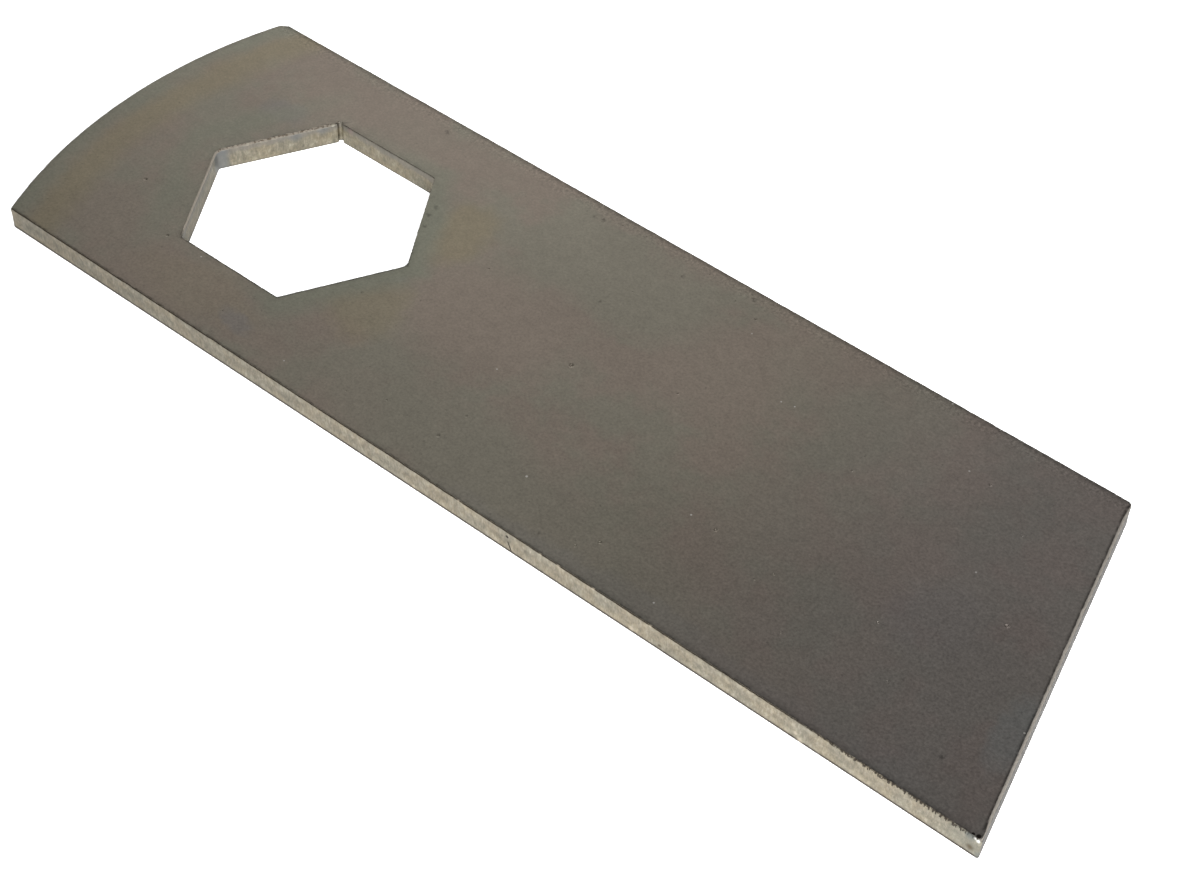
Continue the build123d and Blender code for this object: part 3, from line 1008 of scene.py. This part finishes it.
def scarifier_blade():
    """The blade in the CAD solid's place, with its cut sides roughened and its finishes on."""
    grain, distances, bands = steel_grain_group(), cut_distance_group(), heat_bands_group()
    cut_steel = cut_steel_group(grain)
    piece = bpy.data.objects.new("blade_steel", blade_surface().mesh("blade_steel"))
    bpy.context.scene.collection.objects.link(piece)
    relief, knock = cut_relief_tree(), struck_corner_tree()
    plain = dict(line_pitch=1 * mm, line_depth=0.0, grain_size=1 * mm, grain_depth=0.0, rim_wear=0.0)
    plain |= dict(nick_pitch=1 * mm, nick_depth=0.0, seed=0.0)
    apply_tree(piece, relief, cut=TOP, finish=film_finish(grain, distances, bands), **plain)
    sides = dict(line_pitch=0.4 * mm, line_depth=0.02 * mm, grain_size=0.9 * mm, grain_depth=0.02 * mm)
    sides |= dict(rim_wear=0.16 * mm, nick_pitch=3.0 * mm, nick_depth=0.1 * mm, seed=3.0)
    apply_tree(piece, relief, cut=OUTER_CUT, finish=outer_cut_finish(distances, cut_steel), **sides)
    walls = dict(line_pitch=0.35 * mm, line_depth=0.05 * mm, grain_size=0.7 * mm, grain_depth=0.03 * mm)
    walls |= dict(rim_wear=0.22 * mm, nick_pitch=1.6 * mm, nick_depth=0.1 * mm, seed=7.0)
    apply_tree(piece, relief, cut=HOLE_CUT, finish=hole_cut_finish(cut_steel), **walls)
    leading = (long_edge_reach, -half_width, top)
    apply_tree(piece, knock, place=leading, reach=0.7 * mm, push=(-0.12 * mm, 0.1 * mm, -0.3 * mm))
    made_plain(piece)
    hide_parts("scarifier_blade")
    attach(piece, "root")
    return piece


# Floor, light and camera


def pale_floor():
    """A plain pale floor under the blade."""
    reach = 3.0
    level = plate_low.z - 0.02 * mm
    data = bpy.data.meshes.new("floor")
    corners = [(-reach, -reach, level), (reach, -reach, level), (reach, reach, level), (-reach, reach, level)]
    data.from_pydata(corners, [], [(0, 1, 2, 3)])
    floor = bpy.data.objects.new("floor", data)
    bpy.context.scene.collection.objects.link(floor)
    material, tree, shader, place = finish("pale floor")
    link(tree, shader, base_color=(0.95, 0.95, 0.95, 1.0), roughness=0.9)
    seen = put(tree, "ShaderNodeLightPath").outputs["Is Camera Ray"]
    shader.inputs["Emission Color"].default_value = (1.0, 1.0, 1.0, 1.0)
    tree.links.new(ease(tree, seen, 0.0, 1.0, 0.15, 0.9), shader.inputs["Emission Strength"])
    data.materials.append(material)


def softbox(name, azimuth, elevation, distance, width, height, watts, target=Vector((0.04, 0, 0))):
    """A soft rectangular lamp, placed by compass round the target, that shines at it."""
    a, e = radians(azimuth), radians(elevation)
    lamp = bpy.data.lights.new(name, "AREA")
    lamp.shape, lamp.size, lamp.size_y, lamp.energy = "RECTANGLE", width, height, watts
    holder = bpy.data.objects.new(name, lamp)
    bpy.context.scene.collection.objects.link(holder)
    away = Vector((cos(a) * cos(e), sin(a) * cos(e), sin(e)))
    holder.location = target + away * distance
    holder.rotation_mode = "QUATERNION"
    holder.rotation_quaternion = away.to_track_quat("Z", "Y")


room_light = 0.13


def soft_light():
    """An even pale room, with a large softbox behind the head and a weaker one in front."""
    world = bpy.data.worlds.new("room")
    bpy.context.scene.world = world
    world.use_nodes = True
    tree = world.node_tree
    seen = put(tree, "ShaderNodeLightPath").outputs["Is Camera Ray"]
    strength = ease(tree, seen, 0.0, 1.0, room_light, 1.0)
    background = put(tree, "ShaderNodeBackground", {"Color": (1.0, 1.0, 1.0, 1.0), "Strength": strength})
    tree.links.new(background.outputs[0], tree.nodes["World Output"].inputs["Surface"])
    softbox("behind the head", 130, 25.5, 2.4, 1.1, 1.0, 11.6)
    softbox("in front", -35, 40, 0.55, 0.4, 0.4, 4.5)
    softbox("beyond the end", 50, 16, 2.4, 1.2, 0.5, 2.6)
    bpy.context.scene.view_settings.view_transform = "Standard"


def photo_camera():
    """The camera at the photograph's viewing angle."""
    place = Vector((171.05, -157.45, 211.57)) * mm
    target = Vector((54.752, -8.178, 3.2)) * mm
    roll = radians(1.84)
    focal_share = 2407.9 / 1200
    data = bpy.data.cameras.new("camera")
    data.sensor_width = 36.0
    data.lens = data.sensor_width * focal_share
    data.clip_start, data.clip_end = 0.01, 20.0
    camera = bpy.data.objects.new("camera", data)
    bpy.context.scene.collection.objects.link(camera)
    camera.location = place
    camera.rotation_mode = "QUATERNION"
    camera.rotation_quaternion = (target - place).to_track_quat("-Z", "Y") @ Quaternion((0, 0, 1), roll)
    bpy.context.scene.camera = camera


photo_camera()
pale_floor()
soft_light()
scarifier_blade()
